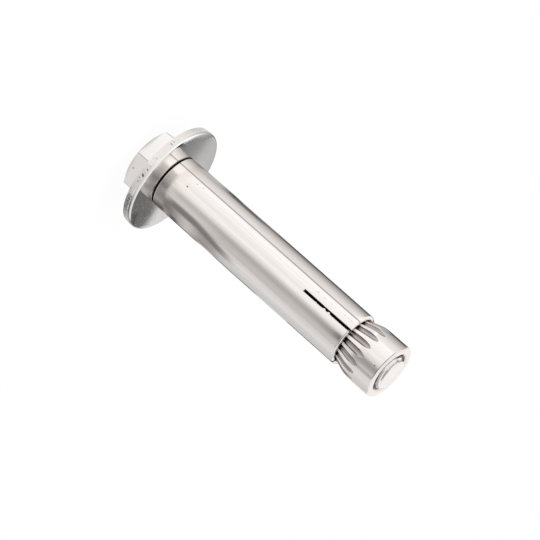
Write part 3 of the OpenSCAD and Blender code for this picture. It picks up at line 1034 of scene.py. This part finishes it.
# The grey stripe on the sleeve darkens towards the nut
glow = card(glow, 0.42, -37, -17, 8, 45.5, 75, 9)
glow = card(glow, 0.08, -32, -13, 5, 48.6, 51.0, 0.6)
# On the right it is brighter near the mouth
glow = card(glow, 1.4 * glow, 62, 95, 8, 49.0, 53, 1.0)
# The nut is a little greyer than the sleeve in two places
glow = card(glow, 0.88 * glow, -16, 4, 5, 52.5, 64, 1.5)
glow = card(glow, 0.7 * glow, -62, -51, 4, 52.5, 64, 1.5)
# The dark room behind, seen along both sides of the sleeve and in the washer's face
glow = card(glow, 0.25, -215, -160, 4, 26, 400, 2)
glow = card(glow, 0.06, -215, -142, 6, 2, 10.2, 0.8)
glow = card(glow, 0.08, -150, -116, 6, 2.2, 4.4, 0.8)
glow = card(glow, 0.62, 112, 215, 8, -9, 7.5, 2.5)
glow = card(glow, 0.45 * glow, 115, 150, 8, 8.5, 19.0, 2)
behind_right = np.interp(tent_z, [12, 16.6, 17.5, 18.5, 20, 22], [0.6, 0.66, 0.56, 0.4, 0.33, 0.3])
glow = card(glow, behind_right, 142, 215, 6, 11, 22, 1.5)
glow = card(glow, 0.92, -215, -140, 6, 10.5, 18, 1)
glow = card(glow, 0.19, -215, -140, 6, 16.8 - (bearing + 165) / 7, 27, 0.6)
# The gap where the camera looks in, which draws a grey line round the edges of mouth and nut
gap_glow = np.interp(bearing, [-40, 0, 15, 40], [0.03, 0.03, 0.12, 0.4])
glow = card(glow, gap_glow, -50, 66, 7, 66, 77, 1.0)
glow = card(glow, 1.1, -400, 400, 1, 78, 400, 2)
bright_back = card(glow, 1.1, -400, 400, 1, 61, 400, 1.5)
glow = glow + (bright_back - glow) * soft_step(np.abs(bearing), 116, 134)
# Both ends of the bearing meet at the back, so the cloth evens out there
back_glow = (glow[:, :1] + glow[:, -1:]) / 2
glow = glow + (back_glow - glow) * soft_step(np.abs(bearing), 163, 180)
rim_glow = np.interp(bearing, RIM_CLOTH[:, 0], RIM_CLOTH[:, 1])
glow = card(glow, rim_glow, -400, 400, 1, -9, 2.2, 0.6)
base = tent_r < TENT_R - 0.1
hex_glow = np.interp(bearing, [-180, -90, -20, 10, 60, 120, 180], [0.9, 0.86, 0.9, 1.1, 1.22, 1.0, 0.9])
base_glow = hex_glow + (rim_glow - hex_glow) * soft_step(tent_r, 19.5, 21.5)
# Next to the head the floor of the tent lies in its shade
UNDER_HEAD = 0.75
base_glow = UNDER_HEAD + (base_glow - UNDER_HEAD) * soft_step(tent_r, 7.5, 8.0)
glow = np.where(base, base_glow, glow)
print("glow of the tent:", round(glow.min(), 2), "to", round(glow.max(), 2))

# %% Cloth of the tent
def hang_cloth(name, points, quads, glow):
    """Makes a cloth that only reflections see, from points in millimetres and the glow at each of them."""
    mesh = bpy.data.meshes.new(name)
    mesh.from_pydata((points.reshape(-1, 3) * MM).tolist(), [], quads.tolist())
    layer = mesh.attributes.new("glow", "FLOAT", "POINT")
    layer.data.foreach_set("value", glow.astype(np.float32).ravel())
    hung = bpy.data.objects.new(name, mesh)
    bpy.context.scene.collection.objects.link(hung)
    hung.visible_camera = False
    hung.visible_diffuse = False
    hung.visible_transmission = False
    hung.visible_shadow = False
    return hung


# Bearing b lies at the azimuth -90 degrees - b
tent_points = round_grid(tent_r, tent_z, -math.pi / 2 - tent_bearing[None, :])
tent = hang_cloth("light_tent", tent_points, round_quads(len(tent_r), len(tent_bearing)), glow)
# Daylight reaches the cloth on the left and in front, so it is a little cooler there, and warmer at the foot
COOL_TINT = np.array([0.97, 1.01, 1.03, 1.0])
WARM_TINT = np.array([1.025, 0.99, 0.97, 1.0])
cool_left = soft_step(bearing, -148, -132) * (1 - soft_step(bearing, -80, -60))
cool_left = cool_left * soft_step(tent_z, 14, 24)
cool_front = 0.5 * soft_step(bearing, -20, 0) * (1 - soft_step(bearing, 75, 95))
warm_foot = soft_step(tent_r, 19, 21) * (1 - soft_step(tent_z, 2.0, 3.0))
cool = (cool_left + cool_front) * (1 - warm_foot)
tint = 1.0 + (COOL_TINT - 1.0) * cool[..., None] + (WARM_TINT - 1.0) * warm_foot[..., None]
tent_tint = tent.data.attributes.new("tint", "FLOAT_COLOR", "POINT")
tent_tint.data.foreach_set("color", tint.astype(np.float32).ravel())
cloth, tree = new_material("tent_cloth")
cloth_glow = add_node(tree, "ShaderNodeAttribute", attribute_name="glow")
cloth_tint = add_node(tree, "ShaderNodeAttribute", attribute_name="tint")
shine = add_node(
    tree,
    "ShaderNodeEmission",
    {"Color": cloth_tint.outputs["Color"], "Strength": cloth_glow.outputs["Fac"]},
)
dress(tent, cloth, shine)

# %% [markdown]
# A second cloth hangs level in front, just above the washer. Only its underside shows, so the washer and the
# foot of the sleeve in it see this cloth, while rays that come down from the sleeve pass through to the tent.

# %% Canopy
CANOPY_Z = 12.5
# Bearing as above, and the glow of the underside there
UNDERSIDE = np.array(
    [
        (-135, 0.1), (-115, 0.2), (-92, 0.6), (-67, 0.41), (-47, 0.5), (-29, 0.31), (-13, 0.55), (10, 0.8),
        (22, 1.0), (32, 1.75), (56, 1.75), (76, 1.45), (135, 0.3),
    ]
)
canopy_deg = np.linspace(-135, 135, 181)
# On the right it reaches further in, over the washer's rolled edge
canopy_inner = np.interp(canopy_deg, [58, 72, 112, 125], [13.0, 7.3, 7.3, 13.0])
canopy_r = np.stack([canopy_inner, np.full_like(canopy_deg, 26.9)])
canopy_points = round_grid(canopy_r, CANOPY_Z, -math.pi / 2 - np.radians(canopy_deg))
inside = np.arange(len(canopy_deg) - 1)
outside = inside + len(canopy_deg)
canopy_quads = np.stack([inside, inside + 1, outside + 1, outside], -1)
canopy_glow = np.tile(np.interp(canopy_deg, *UNDERSIDE.T), 2)
canopy = hang_cloth("canopy", canopy_points, canopy_quads, canopy_glow)
underside, tree = new_material("canopy_cloth")
cloth_glow = add_node(tree, "ShaderNodeAttribute", attribute_name="glow")
shine = add_node(tree, "ShaderNodeEmission", {"Strength": cloth_glow.outputs["Fac"]})
clear = add_node(tree, "ShaderNodeBsdfTransparent")
side = add_node(tree, "ShaderNodeNewGeometry")
one_sided = add_node(
    tree,
    "ShaderNodeMixShader",
    {0: side.outputs["Backfacing"], 1: clear.outputs[0], 2: shine.outputs[0]},
)
dress(canopy, underside, one_sided)

# %% [markdown]
# The floor is white paint for the light that falls on it. To the camera and to reflections it is nearly all
# glow, so that it looks as white as a catalogue page, and a small share of paint keeps the shadow.

# %% Floor
FLOOR_HALF = 2000.0
SHADOW_SHARE = 0.05
floor_mesh = bpy.data.meshes.new("floor")
floor_corners = np.array([[-1, -1, 0], [1, -1, 0], [1, 1, 0], [-1, 1, 0]]) * FLOOR_HALF * MM
floor_mesh.from_pydata(floor_corners.tolist(), [], [(0, 1, 2, 3)])
floor = bpy.data.objects.new("floor", floor_mesh)
bpy.context.scene.collection.objects.link(floor)
white, tree = new_material("white_floor")
path = add_node(tree, "ShaderNodeLightPath").outputs
straight = {0: path["Is Camera Ray"], 1: path["Is Glossy Ray"]}
straight = add_node(tree, "ShaderNodeMath", straight, operation="MAXIMUM")
seen = {0: straight.outputs[0], 1: path["Is Transmission Ray"]}
seen = add_node(tree, "ShaderNodeMath", seen, operation="MAXIMUM")
share = add_node(tree, "ShaderNodeMath", {0: seen.outputs[0], 1: 1.0 - SHADOW_SHARE}, operation="MULTIPLY")
paint = add_node(tree, "ShaderNodeBsdfDiffuse", {"Color": linear("#F4F4F4")})
shine = add_node(tree, "ShaderNodeEmission", {"Color": linear("#FFFFFF"), "Strength": 1.0})
page = {0: share.outputs[0], 1: paint.outputs[0], 2: shine.outputs[0]}
dress(floor, white, add_node(tree, "ShaderNodeMixShader", page))

# %% Lamp and world
lamp = bpy.data.lights.new("soft_lamp", "AREA")
lamp.size = 0.5
lamp.energy = 2.2
soft_lamp = bpy.data.objects.new("soft_lamp", lamp)
soft_lamp.location = (-0.3, -0.25, 0.7)
soft_lamp.rotation_euler = (Vector((0, 0, 0.03)) - soft_lamp.location).to_track_quat("-Z", "Y").to_euler()
soft_lamp.visible_glossy = False
bpy.context.scene.collection.objects.link(soft_lamp)

world = bpy.data.worlds.new("white_room")
bpy.context.scene.world = world
world.use_nodes = True
sky = world.node_tree.nodes["Background"].inputs
sky["Color"].default_value = linear("#FFFFFF")
sky["Strength"].default_value = 1.0
bpy.context.scene.view_settings.view_transform = "Standard"
print("lamp:", lamp.energy, "W, sky:", sky["Strength"].default_value)
